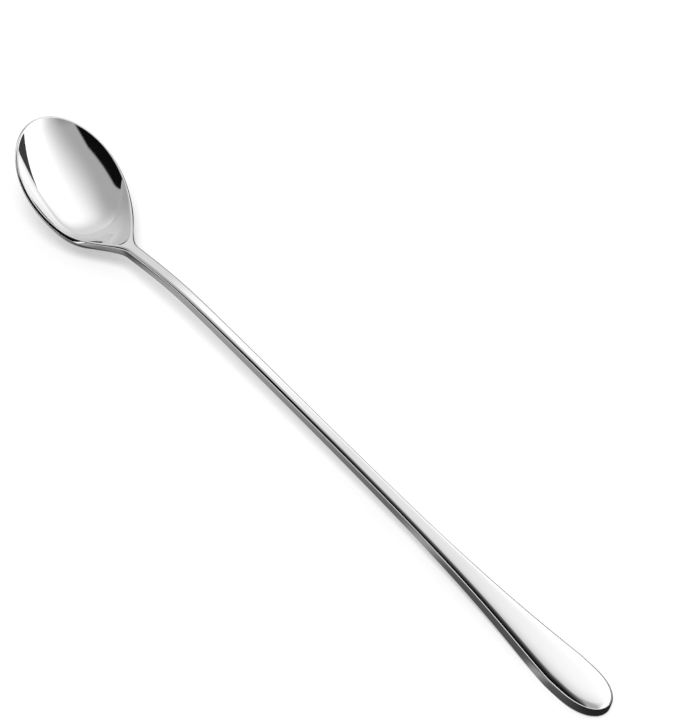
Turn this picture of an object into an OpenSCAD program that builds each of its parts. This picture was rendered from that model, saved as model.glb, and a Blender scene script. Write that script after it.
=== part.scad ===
// Iced tea spoon: a long slim stem with a rounded flat end, and a deep oval bowl tilted up at its heel.
// It lies as on a table, bowl upwards: X runs from the handle's tip to the bowl's tip, Z is up from the table,
// and the origin is on the table below the middle of the spoon's length.
// Stations along the spoon are measured from the handle's tip, along X.

/* [Overall] */
// Length from the handle's tip to the inner lip at the bowl's tip
spoon_length = 214; // [175:1:250]
// Length of the bowl, from its joint with the handle to its tip
bowl_length = 42.5; // [35:0.5:52]

/* [Handle] */
// Width of the handle's rounded end
end_width = 12.1; // [8:0.1:15]
// Length of the curve that rounds the end's tip
end_round = 11.0; // [7:0.1:13]
// Distance from the tip to where the end starts to narrow
taper_start = 13.8; // [10:0.5:22]
// Length of the taper from the end into the stem
taper_length = 28.5; // [18:0.5:42]
// Width of the stem along most of its length
stem_width = 3.45; // [2.6:0.05:4.6]
// Width of the neck, where the bowl is joined on
neck_width = 3.6; // [2.2:0.05:4.4]
// Length over which the stem narrows into the neck
neck_length = 9.5; // [6:0.1:16]
// Thickness of the edge at the handle's end
end_thickness = 3.35; // [1.8:0.05:3.6]
// Thickness of the edge along the stem
stem_thickness = 2.6; // [1.6:0.05:3]
// Radius of the broad shoulder along the handle's upper edges
shoulder_radius = 1; // [0.6:0.05:1.05]
// Radius that softens every other edge
edge_radius = 0.4; // [0.2:0.01:0.5]

/* [Bowl] */
// Width of the bowl between its inner lips
bowl_width = 27.45; // [21:0.5:34]
// Depth of the hollow below the lip
bowl_depth = 8.4; // [5:0.05:9]
// Thickness of the sheet at the rim
rim_thickness = 1.15; // [1.1:0.05:2]

/* [Side profile] */
// Upward angle of the handle's tip
tip_angle = 2.3; // [0:0.1:8]
// Distance from the tip to where it turns up
tip_turn = 12.5; // [9:0.5:22]
// Softness of the turn at the tip
tip_softness = 5.8; // [3:0.1:12]
// Angle at which the handle rises towards the bowl
rise_angle = 3.45; // [1:0.1:6]
// Distance from the tip to where the rise starts
rise_turn = 17; // [12:0.1:28]
// Softness of the turn into the rise
rise_softness = 6.2; // [3:0.1:12]
// Angle at which the neck drops into the bowl
drop_angle = 8.1; // [0:0.1:12]
// Distance from the joint back to where the stem starts to drop
drop_turn = 16.1; // [14:0.1:32]
// Softness of the turn into the drop
drop_softness = 10.4; // [5:0.1:16]
// Angle of the rim above the table
rim_angle = 27.75; // [12:0.1:30]
// Distance from the joint forward to where the rim turns up
rim_turn = 14.15; // [9:0.1:18]
// Softness of the turn of the rim at the heel
rim_softness = 3.4; // [2:0.1:10]

/* [Hidden] */

// Height of the crown on the handle's upper face, as a share of its half width
crown_share = 0.08;
// Fullness of the lower face, as a share of the crown
belly_share = 0.3;
// Length of the bowl's heel, where the hollow sinks in, as a share of the bowl's length
heel_share = 0.5;
// Powers that give the curves their fullness: a higher one is squarer
end_power = 2.5;
taper_power = 1.23;
crown_power = 2.2;
hollow_power = 1.45;
bowl_tip_power = 3.57;
bowl_heel_power = 2.93;
bowl_flare_power = 1.41;
union_power = 1.9;

// Cells along each side of a piece, across half a face, round a shoulder and round a lower edge
handle_cells = 72;
bowl_cells = 44;
handle_rows = 4;
bowl_rows = 9;
shoulder_rows = 5;
fillet_rows = 3;

joint_x = spoon_length - bowl_length;
slope_step = edge_radius / 50;

// A share that grows from 0 to 1 with no sudden bend at either end
function ease(share) =
    let (s = min(max(share, 0), 1))
    s * s * s * (10 - 15 * s + 6 * s * s);

// Zero before the turn and the distance past it after the turn, with a soft bend between
function turn(distance, softness) = (distance + sqrt(distance * distance + softness * softness)) / 2;

// Share of the bowl's length that lies before station x
function bowl_share(x) = max(0, (x - joint_x) / bowl_length);

// Share of the end's width that is left at station x as the handle tapers to its stem
function taper_share(x) = exp(-pow(max(0, x - taper_start) / taper_length, taper_power));

// Half width of the handle with its tip left square
function handle_half(x) =
    let (
        narrowing = 1 / (1 + exp((joint_x - neck_length - x) / (neck_length / 2))),
        stem = stem_width + (neck_width - stem_width) * narrowing
    )
    (stem + (end_width - stem) * taper_share(x)) / 2;

// Growth of the bowl's width from its heel, and what rounds its tip
function bowl_growth(share) = pow(1 - pow(max(0, 1 - share), bowl_heel_power), bowl_flare_power);
function bowl_tip_square(share) = 1 - pow(share, bowl_tip_power);
widest_growth = max([for (i = [0:100]) bowl_growth(i / 100) * sqrt(bowl_tip_square(i / 100))]);

// Half width with both tips left square: the handle and the bowl flow together at the neck
function square_half(x) =
    let (bowl_half = bowl_width / 2 * bowl_growth(bowl_share(x)) / widest_growth)
    pow(pow(handle_half(x), union_power) + pow(bowl_half, union_power), 1 / union_power);

// Square of what rounds the two tips: 1 along the spoon, falling to 0 at either tip
function tip_square(x) =
    (1 - pow(max(0, 1 - x / end_round), end_power)) * bowl_tip_square(bowl_share(x));

// Half width of the outline
function half_width(x) = square_half(x) * sqrt(max(0, tip_square(x)));

// 1 in the middle of a wide face, 0 on the outline
function inside(x, y) = tip_square(x) - pow(y / square_half(x), 2);

// Height of the edge: the handle's top edge and the bowl's lip
function edge_height(x) =
    tan(tip_angle) * turn(tip_turn - x, tip_softness)
    + tan(rise_angle) * turn(x - rise_turn, rise_softness)
    - (tan(rise_angle) + tan(drop_angle)) * turn(x - joint_x + drop_turn, drop_softness)
    + (tan(drop_angle) + tan(rim_angle)) * turn(x - joint_x - rim_turn, rim_softness);

// How far the hollow has sunk in along the heel
function heel_depth(x) = ease(bowl_share(x) / heel_share);

// Crown of the handle's upper face over its edges
function crown(x, y) =
    crown_share * handle_half(x) * (1 - heel_depth(x)) * (1 - pow(1 - inside(x, y), crown_power));

// Height of the sheet that the upper face is raised from: the edge, with the hollow below it
function sheet(x, y) =
    edge_height(x) - bowl_depth * heel_depth(x) * (1 - pow(1 - inside(x, y), hollow_power));

// Height of the upper face: the sheet, with the crown above it
function upper(x, y) = sheet(x, y) + crown(x, y);

// Direction square to the sheet and down into the metal, kept in the cross section near the joint
function inward(x, y) =
    let (
        lean = ease(bowl_share(x) / heel_share * 2),
        dx = lean * (sheet(x + slope_step, y) - sheet(x - slope_step, y)) / (2 * slope_step),
        dy = (sheet(x, y + slope_step) - sheet(x, y - slope_step)) / (2 * slope_step),
        d = [dx, dy, -1]
    )
    d / norm(d);

// Radius of the upper edge: the handle's shoulder, falling to the rim's own radius along the heel
function upper_radius(x) =
    shoulder_radius + (edge_radius - shoulder_radius) * ease(bowl_share(x) / heel_share);

// Thickness of the metal, square to the sheet
function edge_thickness(x) =
    let (handle = stem_thickness + (end_thickness - stem_thickness) * taper_share(x))
    handle + (rim_thickness - handle) * ease(bowl_share(x) / heel_share);
function thickness(x, y) = edge_thickness(x) + (1 + belly_share) * crown(x, y);

// The point at plan place [x, y] and at a depth into the metal
function point_in(p, depth) = [p.x, p.y, upper(p.x, p.y)] + depth * inward(p.x, p.y);

// Station of a place along a side: 0 is at the joint and 1 at the tip, with short steps near the tip
function side_station(place, tip) = tip + (joint_x - tip) * pow(1 - place, 2);

// Station of the same place's point on the middle line, which stops short of the tip so that sections fan out
function middle_station(place, tip) =
    joint_x + (tip - joint_x) * tip_reach(tip) * (1 - pow(1 - place, 1.7));

// Plan point of the outline, going round from the joint (0) past the tip (1) and back (2)
function outline(place, tip) =
    let (x = side_station(place > 1 ? 2 - place : place, tip))
    [x, (place > 1 ? -1 : 1) * half_width(x)];

// Outward direction of the outline in plan, square to the joint's plane at both of its ends
function outward(place, tip) =
    let (
        step = 0.0005,
        a = outline(max(0, place - step), tip),
        b = outline(min(2, place + step), tip),
        n = [a.y - b.y, b.x - a.x],
        out = (tip > joint_x ? 1 : -1) * n / norm(n)
    )
    place == 0 ? [0, 1] : place == 2 ? [0, -1] : out;

// One line of points from the middle of the upper face, round the edge, to the middle of the lower face
function section(place, tip, rows) =
    let (
        rim = outline(place, tip),
        out = outward(place, tip),
        middle = [middle_station(place > 1 ? 2 - place : place, tip), 0],
        radius = upper_radius(rim.x),
        upper_rim = rim - radius * out,
        lower_rim = rim - edge_radius * out
    )
    concat(
        [for (j = [0:rows - 1]) point_in(middle + (upper_rim - middle) * j / rows, 0)],
        [for (j = [0:shoulder_rows])
            let (a = 90 * j / shoulder_rows)
            point_in(rim - radius * (1 - sin(a)) * out, radius * (1 - cos(a)))],
        [for (j = [fillet_rows:-1:0])
            let (a = 90 * j / fillet_rows, p = rim - edge_radius * (1 - sin(a)) * out)
            point_in(p, thickness(p.x, p.y) - edge_radius * (1 - cos(a)))],
        [for (j = [rows - 1:-1:0])
            let (p = middle + (lower_rim - middle) * j / rows)
            point_in(p, thickness(p.x, p.y))]
    );

// How far the middle line reaches towards a tip
function tip_reach(tip) = 1 - (tip > joint_x ? bowl_width / 2 / bowl_length : end_width / 2 / joint_x);

// The sections of each piece, going round its tip
bowl_sections = [for (i = [0:2 * bowl_cells]) section(i / bowl_cells, spoon_length, bowl_rows)];
handle_sections = [for (i = [0:2 * handle_cells]) section(i / handle_cells, 0, handle_rows)];

// The spoon's lowest points, under the bowl and under the handle's end, and its outermost one at the bowl's tip
lowest = min([for (s = concat(bowl_sections, handle_sections), p = s) p.z]);
farthest = max([for (s = bowl_sections, p = s) p.x]);

// A closed shell round one tip: its two halves share the points of the middle line, and each half of its flat
// end fans out from the outermost point of the shoulder
module shell(sections, rows, to_bowl) {
    last = len(sections) - 1;
    columns = len(sections[0]);
    points = [for (s = sections, p = s) p - [farthest / 2, 0, lowest]];
    function index(i, j) =
        (j == 0 || j == columns - 1) ? min(i, last - i) * columns + j : i * columns + j;
    function cell(i, j) =
        let (a = index(i, j), b = index(i + 1, j), c = index(i + 1, j + 1), d = index(i, j + 1))
        (i < last / 2) == (j < columns / 2) ? [[a, d, b], [b, d, c]] : [[a, d, c], [a, c, b]];
    side = rows + shoulder_rows;
    function flat_end(i) = concat(
        [[index(i, side), index(i, 0), index(i, columns - 1)]],
        [for (j = [0:columns - 2])
            if (j != side && j + 1 != side) [index(i, side), index(i, j + 1), index(i, j)]]
    );
    function backwards(f) = [for (k = [len(f) - 1:-1:0]) f[k]];
    faces = concat(
        [for (i = [0:last - 1], j = [0:columns - 2], f = cell(i, j)) f],
        flat_end(0),
        [for (f = flat_end(last)) backwards(f)]
    );
    turned = to_bowl ? faces : [for (f = faces) backwards(f)];
    polyhedron(points = points, faces = turned, convexity = 6);
}

// The oval bowl, from the neck joint to its tip
module bowl() {
    color("silver")
        shell(bowl_sections, bowl_rows, true);
}

// The stem and its rounded flat end, from the neck joint to the handle's tip
module handle() {
    color("gainsboro")
        shell(handle_sections, handle_rows, false);
}

bowl();
handle();
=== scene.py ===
"""An iced tea spoon of mirror-polished steel, lying on a white table.

The spoon's shape is one height field over its outline, cut at the neck into the bowl and the handle.
Lengths are in millimetres and become metres in the meshes. Stations run from the handle's tip along X.
"""

import math
import bpy
import numpy as np
from mathutils import Matrix, Vector


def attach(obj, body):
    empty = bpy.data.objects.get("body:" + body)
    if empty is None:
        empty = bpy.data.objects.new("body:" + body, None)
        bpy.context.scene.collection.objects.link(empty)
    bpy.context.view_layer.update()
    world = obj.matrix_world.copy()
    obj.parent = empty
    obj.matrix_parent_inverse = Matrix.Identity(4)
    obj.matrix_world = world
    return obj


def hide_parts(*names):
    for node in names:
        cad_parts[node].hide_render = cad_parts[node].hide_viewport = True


MM = 0.001

# The outline seen from above
SPOON_LENGTH = 214.15
BOWL_LENGTH = 42.65
BOWL_WIDTH = 27.74
END_WIDTH = 12.1
END_ROUND = 11.0
TAPER_START = 13.8
TAPER_LENGTH = 28.5
STEM_WIDTH = 3.45
NECK_WIDTH = 3.6
NECK_LENGTH = 9.5
END_POWER = 2.5
TAPER_POWER = 1.23
BOWL_TIP_POWER = 3.57
BOWL_HEEL_POWER = 2.93
BOWL_FLARE_POWER = 1.33
UNION_POWER = 1.9

# The sheet of metal, its hollow and its crown
END_THICKNESS = 3.35
STEM_THICKNESS = 2.6
RIM_THICKNESS = 1.15
RIM_LEAN = 0.6
END_SHOULDER = 1.35
SHOULDER_RADIUS = 1.0
RIM_RADIUS = 0.25
EDGE_RADIUS = 0.4
BOWL_DEPTH = 8.33
HEEL_SHARE = 0.54
HOLLOW_POWER = 1.45
HEEL_POWER = 1.0
CROWN_SHARE = 0.08
CROWN_POWER = 2.2
BELLY_SHARE = 0.3

# The side profile: slopes in degrees, the stations of the turns and their softness
TIP_ANGLE = 2.3
TIP_TURN = 12.5
TIP_SOFTNESS = 5.8
RISE_ANGLE = 3.45
RISE_TURN = 17.0
RISE_SOFTNESS = 6.2
DROP_ANGLE = 8.1
DROP_TURN = 16.1
DROP_SOFTNESS = 10.4
RIM_ANGLE = 27.52
RIM_TURN = 14.15
RIM_SOFTNESS = 3.4

# The grid: cells along each side of a piece, rows across half a face and round an edge, the powers that
# space them, the steps that slopes are measured over, and the angle from which an edge stays sharp
HANDLE_CELLS = 300
HANDLE_ROWS = 14
BOWL_CELLS = 170
BOWL_ROWS = 40
ROW_POWER = 1.6
FILLET_ROWS = 8
MIDDLE_POWER = 1.7
SLOPE_STEP = 0.008
OUTLINE_STEP = 0.0005
SHARP_DEGREES = 60.0

# The camera: the table point at the picture's middle, and the direction it is seen from
IMAGE_WIDTH_PX = 693
IMAGE_HEIGHT_PX = 720
LENS_PX = 2257.8
VIEW_DISTANCE = 582.6
VIEW_HEIGHT_DEGREES = 44.87
VIEW_TURN_DEGREES = 143.31
VIEW_ROLL_DEGREES = -14.16
LOOK_AT_X = 9.32
LOOK_AT_Y = -26.97

# The steel: its grey, its polish, its haze and marks in the roughness, and its faint waves
STEEL_GREY = (0.88, 0.88, 0.88, 1.0)
POLISH = 0.02
HAZE = 0.03
HAZE_SCALE = 70.0
MARKS = 0.05
MARKS_FROM = 0.58
MARKS_TO = 0.75
MARKS_SCALES = (60.0, 2600.0, 2600.0)
WAVES_SCALE = 240.0
WAVES_STRENGTH = 0.02
WAVES_HEIGHT = 0.0001

# The light: the table, the world and the key lamp
WHITE = (1.0, 1.0, 1.0, 1.0)
TABLE_WHITE = 0.62
TABLE_LIFT = 0.42
WORLD_LIGHT = 0.5
KEY_STRENGTH = 1.8
KEY_WIDTH_DEGREES = 25.0
KEY_HEIGHT_DEGREES = 66.0
KEY_HEADING_DEGREES = 110.0

# The table's reach, and the reach of the cards that only the steel mirrors, in millimetres
TABLE_REACH = 3000.0
SHEET_REACH = 450.0
SHEET_BACK = -330.0
SHEET_FRONT = 400.0
SHEET_HEIGHT = 65.0
FAR_CARD_Y = -331.0
FAR_CARD_LIGHT = 0.05
LOW_CARD_REACH = 260.0
LOW_CARD_SIDE = 200.0
LOW_CARD_HEIGHT = 0.2

# The softbox's cloth: its light, and the slanting band over which grey grows to full light
SHEET_FULL = 1.25
SHEET_EAST = 0.76
SHEET_GREY = 0.42
SHEET_DARK = 0.004
EAST_FROM = 55.0
EAST_TO = 105.0
BAND_Y = -40.0
BAND_HALF = 40.0
BAND_EAST_X = 5.0
BAND_EAST_SLOPE = 0.5
BAND_WEST_X = -40.0
BAND_WEST_SLOPE = 0.3

# The cloth's dark front: a slow fade over the handle, a cut edge over the bowl, and the dark far end
FADE_Y = -15.0
FADE_LENGTH = 24.0
FADE_WIDER = 9.0
FADE_WIDER_FROM = -75.0
FADE_WIDER_TO = -15.0
FADE_END_X = -75.0
FADE_END_SLOPE = 1.4
CUT_SLOPE = 0.89
CUT_Y = -7.0
CUT_TIP_SLOPE = 0.25
CUT_TIP_Y = 21.0
CUT_HALF = 3.0
CUT_FROM = -5.0
CUT_TO = 22.0
DARK_EAST_FROM = 230.0
DARK_EAST_TO = 290.0

# The card just over the table, which only the steel mirrors and whose glow is painted shade of the table in
# the reflections: its light along the near side of the spoon, and on the far side, a painted shade spot by
# the heel and two painted highlights by the handle
NEAR_DARK = 0.09
NEAR_GREY = 0.38
NEAR_FROM = -70.0
NEAR_TO = 60.0
TIP_DROP = 0.26
TIP_FROM = 105.0
TIP_TO = 125.0
END_DROP = 0.07
END_FROM = -108.0
END_TO = -94.0
HEEL_X = 73.0
HEEL_REACH = 9.0
HEEL_DROP = 0.33
PAINTED_GLINT_LIGHT = 0.22
PAINTED_GLINT_PLACES = ((-89.0, 3.0), (-45.0, 6.0))
PAST_LIGHT = 0.5
PAST_DARK = 0.1
PAST_FROM = -60.0
PAST_TO = 80.0
PAST_Y = -15.0
PAST_HALF = 10.0

JOINT = SPOON_LENGTH - BOWL_LENGTH


def ease(share):
    """The share s, kept within 0 to 1, as 10 s^3 - 15 s^4 + 6 s^5: flat and unbent at both ends."""
    s = np.clip(share, 0, 1)
    return s ** 3 * (10 - 15 * s + 6 * s * s)


def turn(distance, softness):
    """Half of the sum of the distance and the root of its square plus the softness squared.

    It is near 0 before a turn and near the distance after it.
    """
    return (distance + np.sqrt(distance * distance + softness * softness)) / 2


def slope(degrees):
    """The rise of one unit of run at this angle."""
    return math.tan(math.radians(degrees))


def bowl_share(x):
    """The share of the bowl's length that lies before station x, 0 on the handle."""
    return np.clip((x - JOINT) / BOWL_LENGTH, 0, None)


def taper_share(x):
    """The share of the end's extra width left at station x: e to minus the taper's run to its power."""
    return np.exp(-(np.clip(x - TAPER_START, 0, None) / TAPER_LENGTH) ** TAPER_POWER)


def handle_half(x):
    """Half the handle's width with a square tip: the stem, narrowed at the neck, plus the tapering end."""
    narrowing = 1 / (1 + np.exp((JOINT - NECK_LENGTH - x) / (NECK_LENGTH / 2)))
    stem = STEM_WIDTH + (NECK_WIDTH - STEM_WIDTH) * narrowing
    return (stem + (END_WIDTH - stem) * taper_share(x)) / 2


def bowl_growth(share):
    """The bowl's growth from its heel: 1 minus what is left to its heel power, to its flare power."""
    return (1 - np.clip(1 - share, 0, None) ** BOWL_HEEL_POWER) ** BOWL_FLARE_POWER


def bowl_tip_square(share):
    """The square of what rounds the bowl's tip: 1 minus the share to its tip power."""
    return 1 - share ** BOWL_TIP_POWER


SHARES = np.linspace(0, 1, 101)
WIDEST_GROWTH = (bowl_growth(SHARES) * np.sqrt(bowl_tip_square(SHARES))).max()


def square_half(x):
    """Half the width with square tips: the union power's root of the handle's and the bowl's powers."""
    bowl_half = BOWL_WIDTH / 2 * bowl_growth(bowl_share(x)) / WIDEST_GROWTH
    return (handle_half(x) ** UNION_POWER + bowl_half ** UNION_POWER) ** (1 / UNION_POWER)


def tip_square(x):
    """The square of what rounds both tips: 1 along the spoon and 0 at either tip."""
    handle_tip = 1 - np.clip(1 - x / END_ROUND, 0, None) ** END_POWER
    return handle_tip * bowl_tip_square(bowl_share(x))


def half_width(x):
    """Half the width of the outline at station x."""
    return square_half(x) * np.sqrt(np.clip(tip_square(x), 0, None))


def inside(x, y):
    """1 in the middle of a face and 0 on the outline: the tip square minus the squared share of width."""
    return tip_square(x) - (y / square_half(x)) ** 2


def edge_height(x):
    """The height of the edge: four straight runs joined by soft turns."""
    return (slope(TIP_ANGLE) * turn(TIP_TURN - x, TIP_SOFTNESS)
            + slope(RISE_ANGLE) * turn(x - RISE_TURN, RISE_SOFTNESS)
            - (slope(RISE_ANGLE) + slope(DROP_ANGLE)) * turn(x - JOINT + DROP_TURN, DROP_SOFTNESS)
            + (slope(DROP_ANGLE) + slope(RIM_ANGLE)) * turn(x - JOINT - RIM_TURN, RIM_SOFTNESS))


def along_heel(x):
    """The eased way along the heel: 0 on the handle and 1 in the bowl."""
    return ease(bowl_share(x) / HEEL_SHARE)


def crown(x, y):
    """The handle's crown: 1 minus a power of the distance from the middle, fading out in the bowl."""
    return (CROWN_SHARE * handle_half(x) * (1 - along_heel(x))
            * (1 - np.clip(1 - inside(x, y), 0, None) ** CROWN_POWER))


def sheet(x, y):
    """The height that the face is raised from: the edge minus the hollow, a power of the way inside."""
    power = HEEL_POWER + (HOLLOW_POWER - HEEL_POWER) * along_heel(x)
    hollow = along_heel(x) * (1 - np.clip(1 - inside(x, y), 0, None) ** power)
    return edge_height(x) - BOWL_DEPTH * hollow


def upper(x, y):
    """The height of the upper face: the sheet plus the crown."""
    return sheet(x, y) + crown(x, y)


def inward(x, y):
    """The unit direction into the metal: a share of the way from upright to square to the sheet."""
    lean = RIM_LEAN * along_heel(x)
    along = lean * (sheet(x + SLOPE_STEP, y) - sheet(x - SLOPE_STEP, y)) / (2 * SLOPE_STEP)
    across = lean * (sheet(x, y + SLOPE_STEP) - sheet(x, y - SLOPE_STEP)) / (2 * SLOPE_STEP)
    direction = np.stack([along, across, -np.ones_like(along)], -1)
    return direction / np.linalg.norm(direction, axis=-1, keepdims=True)


def edge_thickness(x):
    """The edge's thickness: the end's, then the stem's along the taper and the rim's along the heel."""
    handle = STEM_THICKNESS + (END_THICKNESS - STEM_THICKNESS) * taper_share(x)
    return handle + (RIM_THICKNESS - handle) * along_heel(x)


def shoulder_radius(x):
    """The radius of the upper edge: the end's, then the stem's along the taper and the rim's on the heel."""
    handle = SHOULDER_RADIUS + (END_SHOULDER - SHOULDER_RADIUS) * taper_share(x)
    return handle + (RIM_RADIUS - handle) * along_heel(x)


def thickness(x, y):
    """The thickness square to the upper face: the edge's plus the crown and the belly under it."""
    return edge_thickness(x) + (1 + BELLY_SHARE) * crown(x, y)


def point_in(x, y, depth):
    """The point below plan place (x, y) of the upper face, at a depth into the metal."""
    return np.stack([x, y, upper(x, y)], -1) + depth[..., None] * inward(x, y)


def outline(place, tip):
    """The outline round a tip, from the neck (0) past the tip (1) and back (2).

    The station is the tip's plus the way to the neck times the square of the way left, so that the steps
    are short at the tip.
    """
    leg = np.where(place > 1, 2 - place, place)
    x = tip + (JOINT - tip) * (1 - leg) ** 2
    return np.stack([x, np.where(place > 1, -1, 1) * half_width(x)], -1)


def outward(place, tip):
    """The outline's outward direction: its step turned by a right angle, and straight across at the neck."""
    after = outline(np.clip(place + OUTLINE_STEP, 0, 2), tip)
    ahead = after - outline(np.clip(place - OUTLINE_STEP, 0, 2), tip)
    side = np.stack([-ahead[:, 1], ahead[:, 0]], -1) * (1 if tip > JOINT else -1)
    side /= np.linalg.norm(side, axis=1, keepdims=True)
    side[0] = (0, 1)
    side[-1] = (0, -1)
    return side


def shell_grid(tip, cells, rows):
    """Lines from the middle of the upper face, round the edge, to the middle of the lower face, as one grid.

    The first axis goes round the tip and the second across the metal. The upper edge is a quarter round of
    the shoulder's radius and the lower edge one of the edge radius. The lines get closer towards the edge,
    and the middle points of the two halves are shared.
    """
    place = np.arange(2 * cells + 1) / cells
    rim = outline(place, tip)
    side = outward(place, tip)
    half = BOWL_WIDTH / 2 if tip > JOINT else END_WIDTH / 2
    reach = 1 - half / abs(tip - JOINT)
    leg = np.where(place > 1, 2 - place, place)
    middle_x = JOINT + (tip - JOINT) * reach * (1 - (1 - leg) ** MIDDLE_POWER)
    middle = np.stack([middle_x, np.zeros_like(place)], -1)
    radius = shoulder_radius(rim[:, 0])
    upper_rim = rim - radius[:, None] * side
    lower_rim = rim - EDGE_RADIUS * side
    shares = 1 - (1 - np.arange(rows) / rows) ** ROW_POWER
    upper_face = [middle + (upper_rim - middle) * share for share in shares]
    lower_face = [middle + (lower_rim - middle) * share for share in shares]
    angles = np.pi / 2 * np.arange(FILLET_ROWS + 1) / FILLET_ROWS
    columns = [point_in(p[:, 0], p[:, 1], np.zeros_like(place)) for p in upper_face]
    for a in angles:
        p = rim - (radius * (1 - math.sin(a)))[:, None] * side
        columns.append(point_in(p[:, 0], p[:, 1], radius * (1 - math.cos(a))))
    for a in angles[::-1]:
        p = rim - EDGE_RADIUS * (1 - math.sin(a)) * side
        depth = thickness(p[:, 0], p[:, 1]) - EDGE_RADIUS * (1 - math.cos(a))
        columns.append(point_in(p[:, 0], p[:, 1], depth))
    for p in lower_face[::-1]:
        columns.append(point_in(p[:, 0], p[:, 1], thickness(p[:, 0], p[:, 1])))
    return np.stack(columns, 1)


def shell_faces(count, columns, to_bowl):
    """The grid's four-cornered faces and the flat face at the neck, all wound outwards.

    The two halves are joined along the middle lines.
    """
    def index(i, j):
        """The grid point's number, which is one and the same for both halves on the middle lines."""
        middle = (j == 0) | (j == columns - 1)
        return np.where(middle, np.minimum(i, count - 1 - i), i) * columns + j

    i, j = np.meshgrid(np.arange(count - 1), np.arange(columns - 1), indexing="ij")
    quads = np.stack([index(i, j), index(i + 1, j), index(i + 1, j + 1), index(i, j + 1)], -1).reshape(-1, 4)
    first = index(np.zeros(columns, int), np.arange(columns))
    last = index(np.full(columns - 2, count - 1), np.arange(columns - 2, 0, -1))
    cap = np.concatenate([first, last])
    if not to_bowl:
        quads = quads[:, ::-1]
        cap = cap[::-1]
    return quads, cap


def make_mesh(name, points, corners, counts):
    """A mesh from whole arrays: points in metres, all faces' corners in turn, and how many each has."""
    mesh = bpy.data.meshes.new(name)
    mesh.vertices.add(len(points))
    mesh.vertices.foreach_set("co", points.astype(np.float32).ravel())
    mesh.loops.add(len(corners))
    mesh.loops.foreach_set("vertex_index", corners.astype(np.int32))
    mesh.polygons.add(len(counts))
    mesh.polygons.foreach_set("loop_start", (np.cumsum(counts) - counts).astype(np.int32))
    mesh.polygons.foreach_set("use_smooth", np.ones(len(counts), bool))
    mesh.update(calc_edges=True)
    return mesh


def make_shell(name, node, tip, grid):
    """A closed mesh of one side of the neck, smooth but for its flat face at the neck."""
    quads, cap = shell_faces(grid.shape[0], grid.shape[1], tip > JOINT)
    used, corners = np.unique(np.concatenate([quads.ravel(), cap]), return_inverse=True)
    points = (grid.reshape(-1, 3)[used] + SHIFT) * MM
    mesh = make_mesh(name, points, corners, np.append(np.full(len(quads), 4), len(cap)))
    mesh.set_sharp_from_angle(angle=math.radians(SHARP_DEGREES))
    piece = bpy.data.objects.new(name, mesh)
    bpy.context.scene.collection.objects.link(piece)
    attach(piece, "root")
    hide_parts(node)
    return piece


def look_camera():
    """A camera at the photograph's viewing angle, aimed at one table point, with no lens shift."""
    height = math.radians(VIEW_HEIGHT_DEGREES)
    heading = math.radians(VIEW_TURN_DEGREES)
    roll = math.radians(VIEW_ROLL_DEGREES)
    level_right = Vector((math.cos(heading), -math.sin(heading), 0))
    away = Vector((math.sin(heading), math.cos(heading), 0))
    forward = away * math.cos(height) - Vector((0, 0, math.sin(height)))
    level_up = away * math.sin(height) + Vector((0, 0, math.cos(height)))
    right = level_right * math.cos(roll) - level_up * math.sin(roll)
    up = level_right * math.sin(roll) + level_up * math.cos(roll)
    target = Vector((LOOK_AT_X, LOOK_AT_Y, 0)) * MM
    data = bpy.data.cameras.new("view")
    data.sensor_fit = "AUTO"
    data.sensor_width = 36.0
    data.lens = LENS_PX / max(IMAGE_WIDTH_PX, IMAGE_HEIGHT_PX) * data.sensor_width
    data.clip_start = 0.01
    data.clip_end = 50.0
    camera = bpy.data.objects.new("view", data)
    turned = Matrix((right, up, -forward)).transposed().to_4x4()
    camera.matrix_world = Matrix.Translation(target - forward * VIEW_DISTANCE * MM) @ turned
    bpy.context.scene.collection.objects.link(camera)
    bpy.context.scene.camera = camera


class Socket:
    """A node socket that turns Python arithmetic into Math nodes."""

    def __init__(self, tree, link):
        self.tree = tree
        self.link = link

    def math(self, operation, *others):
        """One Math node that starts from this socket."""
        return self.tree.node("ShaderNodeMath", {"operation": operation}, [self, *others])

    def axis(self, number):
        """One coordinate of a vector: 0 for X, 1 for Y and 2 for Z."""
        return self.tree.node("ShaderNodeSeparateXYZ", {}, [self], output=number)

    def step(self, start, end, low=0.0, high=1.0):
        """A soft step from low to high while this socket goes from start to end."""
        return self.tree.node("ShaderNodeMapRange", {"interpolation_type": "SMOOTHSTEP"},
                              [self, start, end, low, high])

    def past(self, value, rate):
        """How far this socket is past a value, never less than 0, times a rate."""
        return (self - value).math("MAXIMUM", 0.0) * rate

    def short_of(self, value, rate):
        """How far this socket falls short of a value, never less than 0, times a rate."""
        return (value - self).math("MAXIMUM", 0.0) * rate

    def spot(self, middle, reach, light):
        """A soft spot: the light times e to minus the squared distance from the middle in reaches."""
        return (((self - middle) / reach).math("POWER", 2.0) * -1).math("EXPONENT") * light

    def __add__(self, other):
        return self.math("ADD", other)

    def __sub__(self, other):
        return self.math("SUBTRACT", other)

    def __rsub__(self, other):
        return self.tree.node("ShaderNodeMath", {"operation": "SUBTRACT"}, [other, self])

    def __mul__(self, other):
        return self.math("MULTIPLY", other)

    def __truediv__(self, other):
        return self.math("DIVIDE", other)

    def __rtruediv__(self, other):
        return self.tree.node("ShaderNodeMath", {"operation": "DIVIDE"}, [other, self])

    __radd__ = __add__
    __rmul__ = __mul__


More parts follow.
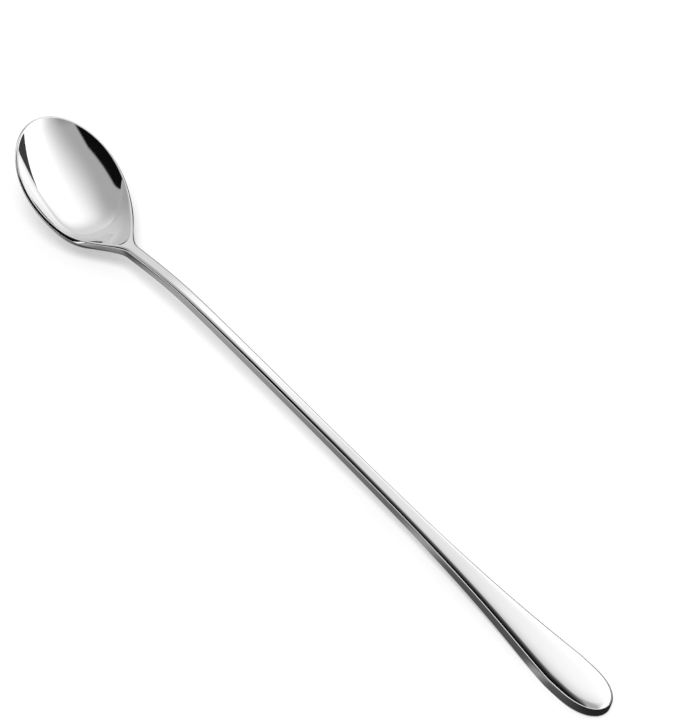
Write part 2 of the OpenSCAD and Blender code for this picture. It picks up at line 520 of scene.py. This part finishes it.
class Tree:
    """A node tree whose nodes are all made by one method."""

    def __init__(self, owner):
        owner.use_nodes = True
        self.nodes = owner.node_tree.nodes
        self.links = owner.node_tree.links
        self.nodes.clear()

    def node(self, kind, settings=None, inputs=None, output=0):
        """One node: its settings first, then the values or links of its sockets, by number or by name."""
        made = self.nodes.new(kind)
        for name, value in (settings or {}).items():
            setattr(made, name, value)
        inputs = inputs or {}
        for key, value in (inputs.items() if isinstance(inputs, dict) else enumerate(inputs)):
            if isinstance(value, Socket):
                self.links.new(value.link, made.inputs[key])
            else:
                made.inputs[key].default_value = value
        return Socket(self, made.outputs[output]) if made.outputs else made

    def background_rays(self):
        """1 for the rays that show the background: those of the camera, of mirrors and of glass."""
        rays = [self.node("ShaderNodeLightPath", output=kind)
                for kind in ("Is Camera Ray", "Is Glossy Ray", "Is Transmission Ray")]
        return (rays[0] + rays[1] + rays[2]).math("MINIMUM", 1.0)


def polished_steel():
    """Mirror-polished stainless steel: a near-neutral metal with a fine haze and faint hairline marks.

    The haze is slow noise in the roughness. The marks are noise stretched along the spoon, faint in the
    roughness too, and a weak slow noise bends the mirror a little, as buffing leaves it.
    """
    material = bpy.data.materials.new("polished_steel")
    tree = Tree(material)
    place = tree.node("ShaderNodeTexCoord", output="Object")
    haze = tree.node("ShaderNodeTexNoise", {}, {"Vector": place, "Scale": HAZE_SCALE, "Detail": 3.0})
    along = tree.node("ShaderNodeMapping", {}, {"Vector": place, "Scale": MARKS_SCALES})
    marks = tree.node("ShaderNodeTexNoise", {}, {"Vector": along, "Scale": 1.0, "Detail": 2.0})
    roughness = haze * HAZE + marks.step(MARKS_FROM, MARKS_TO, 0.0, MARKS) + POLISH
    waves = tree.node("ShaderNodeTexNoise", {}, {"Vector": place, "Scale": WAVES_SCALE, "Detail": 1.0})
    bend = tree.node("ShaderNodeBump", {}, {
        "Height": waves, "Strength": WAVES_STRENGTH, "Distance": WAVES_HEIGHT})
    steel = tree.node("ShaderNodeBsdfPrincipled", {}, {
        "Base Color": STEEL_GREY, "Metallic": 1.0, "Roughness": roughness, "Normal": bend})
    tree.node("ShaderNodeOutputMaterial", {}, {"Surface": steel})
    return material


def white_table():
    """A matt table whose glow, seen only as background, lifts it to plain white and leaves a soft shadow."""
    material = bpy.data.materials.new("white_table")
    tree = Tree(material)
    matt = tree.node("ShaderNodeBsdfDiffuse", {}, {"Color": (TABLE_WHITE, TABLE_WHITE, TABLE_WHITE, 1.0)})
    lift = tree.background_rays() * TABLE_LIFT
    lifted = tree.node("ShaderNodeEmission", {}, {"Color": WHITE, "Strength": lift})
    both = tree.node("ShaderNodeAddShader", {}, [matt, lifted])
    tree.node("ShaderNodeOutputMaterial", {}, {"Surface": both})
    return material


def plan_place(tree):
    """X and Y of a card's point in millimetres."""
    place = tree.node("ShaderNodeTexCoord", output="Object")
    return place.axis(0) / MM, place.axis(1) / MM


def glow(tree, strength):
    """A plain white glow of this strength, as the whole surface."""
    shader = tree.node("ShaderNodeEmission", {}, {"Color": WHITE, "Strength": strength})
    tree.node("ShaderNodeOutputMaterial", {}, {"Surface": shader})


def light_sheet():
    """The cloth of the softbox over the spoon: brightest past the spoon, and dark on the camera's side.

    The light grows from grey to full over a slanting band, and is weaker past the bowl. Over the handle it
    fades out as e to minus the way forward, and over the bowl it ends at a cut edge of two straight lines.
    """
    material = bpy.data.materials.new("light_sheet")
    tree = Tree(material)
    x, y = plan_place(tree)
    band = x.past(BAND_EAST_X, BAND_EAST_SLOPE) + x.short_of(BAND_WEST_X, BAND_WEST_SLOPE) + BAND_Y
    full = x.step(EAST_FROM, EAST_TO, SHEET_FULL, SHEET_EAST)
    light = SHEET_GREY + (full - SHEET_GREY) * (band - y).step(-BAND_HALF, BAND_HALF)
    wider = x.step(FADE_WIDER_FROM, FADE_WIDER_TO, FADE_WIDER, 0.0)
    forward = y - FADE_Y + wider - x.short_of(FADE_END_X, FADE_END_SLOPE)
    fade = (forward / -FADE_LENGTH).math("EXPONENT").math("MINIMUM", 1.0)
    line = (x * CUT_SLOPE + CUT_Y).math("MAXIMUM", x * CUT_TIP_SLOPE + CUT_TIP_Y)
    cut = (line - y).step(-CUT_HALF, CUT_HALF)
    over_bowl = x.step(CUT_FROM, CUT_TO)
    front = fade * (1 - over_bowl) + cut * over_bowl
    glow(tree, light * front * x.step(DARK_EAST_FROM, DARK_EAST_TO, 1.0, 0.0) + SHEET_DARK)
    return material


def painted_shade_and_glint_card():
    """The card just over the table, seen only in the steel: its glow is painted shade of the table in the
    reflections, dark along the handle's end, grey by the bowl and dark past its tip.

    A painted shade spot by the bowl's heel and two painted highlights by the handle show on the spoon's
    side.
    """
    material = bpy.data.materials.new("painted_shade_and_glint_card")
    tree = Tree(material)
    x, y = plan_place(tree)
    # Painted shade: the glow is the table's shade as the steel mirrors it, darker by the handle's end, the
    # heel and past the bowl's tip
    near = x.step(NEAR_FROM, NEAR_TO, NEAR_DARK, NEAR_GREY) - x.step(TIP_FROM, TIP_TO, 0.0, TIP_DROP)
    near = near - x.spot(HEEL_X, HEEL_REACH, HEEL_DROP) - x.step(END_FROM, END_TO, END_DROP, 0.0)
    past = y.step(PAST_Y - PAST_HALF, PAST_Y + PAST_HALF, 1.0, 0.0)
    light = near * (1 - past) + past * x.step(PAST_FROM, PAST_TO, PAST_LIGHT, PAST_DARK)
    # Painted highlights: two light spots that show as glints on the handle's side
    for middle, reach in PAINTED_GLINT_PLACES:
        light = light + x.spot(middle, reach, PAINTED_GLINT_LIGHT)
    glow(tree, light)
    return material


def far_card():
    """The upright card behind the softbox's back edge: one even dark grey."""
    material = bpy.data.materials.new("far_card")
    glow(Tree(material), FAR_CARD_LIGHT)
    return material


def card(name, corners, material):
    """A flat card between corners in millimetres, placed beside the spoon."""
    mesh = bpy.data.meshes.new(name)
    mesh.from_pydata([tuple(MM * c for c in corner) for corner in corners], [], [(0, 1, 2, 3)])
    mesh.materials.append(material)
    made = bpy.data.objects.new(name, mesh)
    bpy.context.scene.collection.objects.link(made)
    return made


def level(reach, back, front, height):
    """The corners of a level card that reaches equally far both ways along X."""
    return [(-reach, back, height), (reach, back, height), (reach, front, height), (-reach, front, height)]


def upright(reach, y, top):
    """The corners of an upright card from the table to its top."""
    return [(-reach, y, 0.0), (reach, y, 0.0), (reach, y, top), (-reach, y, top)]


def only_mirrored(made):
    """Leaves a card to the mirrors alone: it lights, shades and hides nothing."""
    made.visible_camera = False
    made.visible_diffuse = False
    made.visible_transmission = False
    made.visible_shadow = False


def world_light():
    """White all round for the camera and the metal, and a plain soft light on everything else."""
    world = bpy.data.worlds.new("studio")
    bpy.context.scene.world = world
    tree = Tree(world)
    strength = WORLD_LIGHT + tree.background_rays() * (1 - WORLD_LIGHT)
    light = tree.node("ShaderNodeBackground", {}, {"Color": WHITE, "Strength": strength})
    tree.node("ShaderNodeOutputWorld", {}, {"Surface": light})


def key_light():
    """A broad soft lamp, high on the camera's side, whose shadow shows just below the spoon."""
    data = bpy.data.lights.new("key", "SUN")
    data.energy = KEY_STRENGTH
    data.angle = math.radians(KEY_WIDTH_DEGREES)
    height = math.radians(KEY_HEIGHT_DEGREES)
    heading = math.radians(KEY_HEADING_DEGREES)
    level_source = Vector((math.cos(heading), math.sin(heading), 0))
    source = level_source * math.cos(height) + Vector((0, 0, math.sin(height)))
    lamp = bpy.data.objects.new("key", data)
    lamp.rotation_euler = source.to_track_quat("Z", "Y").to_euler()
    lamp.visible_glossy = False
    bpy.context.scene.collection.objects.link(lamp)


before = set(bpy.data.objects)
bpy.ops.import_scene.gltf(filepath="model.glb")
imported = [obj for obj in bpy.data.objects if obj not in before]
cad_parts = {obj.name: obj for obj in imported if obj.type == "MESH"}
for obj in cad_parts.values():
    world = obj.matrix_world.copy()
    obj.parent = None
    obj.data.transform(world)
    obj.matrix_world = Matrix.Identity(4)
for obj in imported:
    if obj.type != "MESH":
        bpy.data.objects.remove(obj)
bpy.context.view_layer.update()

bowl_grid = shell_grid(SPOON_LENGTH, BOWL_CELLS, BOWL_ROWS)
handle_grid = shell_grid(0.0, HANDLE_CELLS, HANDLE_ROWS)
LOWEST = min(bowl_grid[..., 2].min(), handle_grid[..., 2].min())
SHIFT = np.array([-bowl_grid[..., 0].max() / 2, 0.0, -LOWEST])

look_camera()
steel = polished_steel()
bowl = make_shell("bowl_shell", "bowl", SPOON_LENGTH, bowl_grid)
handle = make_shell("handle_bar", "handle", 0.0, handle_grid)
for piece in (bowl, handle):
    piece.data.materials.append(steel)

card("table", level(TABLE_REACH, -TABLE_REACH, TABLE_REACH, 0.0), white_table())
sheet_corners = level(SHEET_REACH, SHEET_BACK, SHEET_FRONT, SHEET_HEIGHT)
low_corners = level(LOW_CARD_REACH, -LOW_CARD_SIDE, LOW_CARD_SIDE, LOW_CARD_HEIGHT)
far_corners = upright(SHEET_REACH, FAR_CARD_Y, SHEET_HEIGHT)
only_mirrored(card("softbox", sheet_corners, light_sheet()))
only_mirrored(card("far_card", far_corners, far_card()))
# The card just over the table, seen only in the steel, paints the table's shade and two highlights into the
# reflections
only_mirrored(card("painted_shade_and_glint_card", low_corners, painted_shade_and_glint_card()))

key_light()
world_light()
bpy.context.scene.view_settings.view_transform = "Standard"
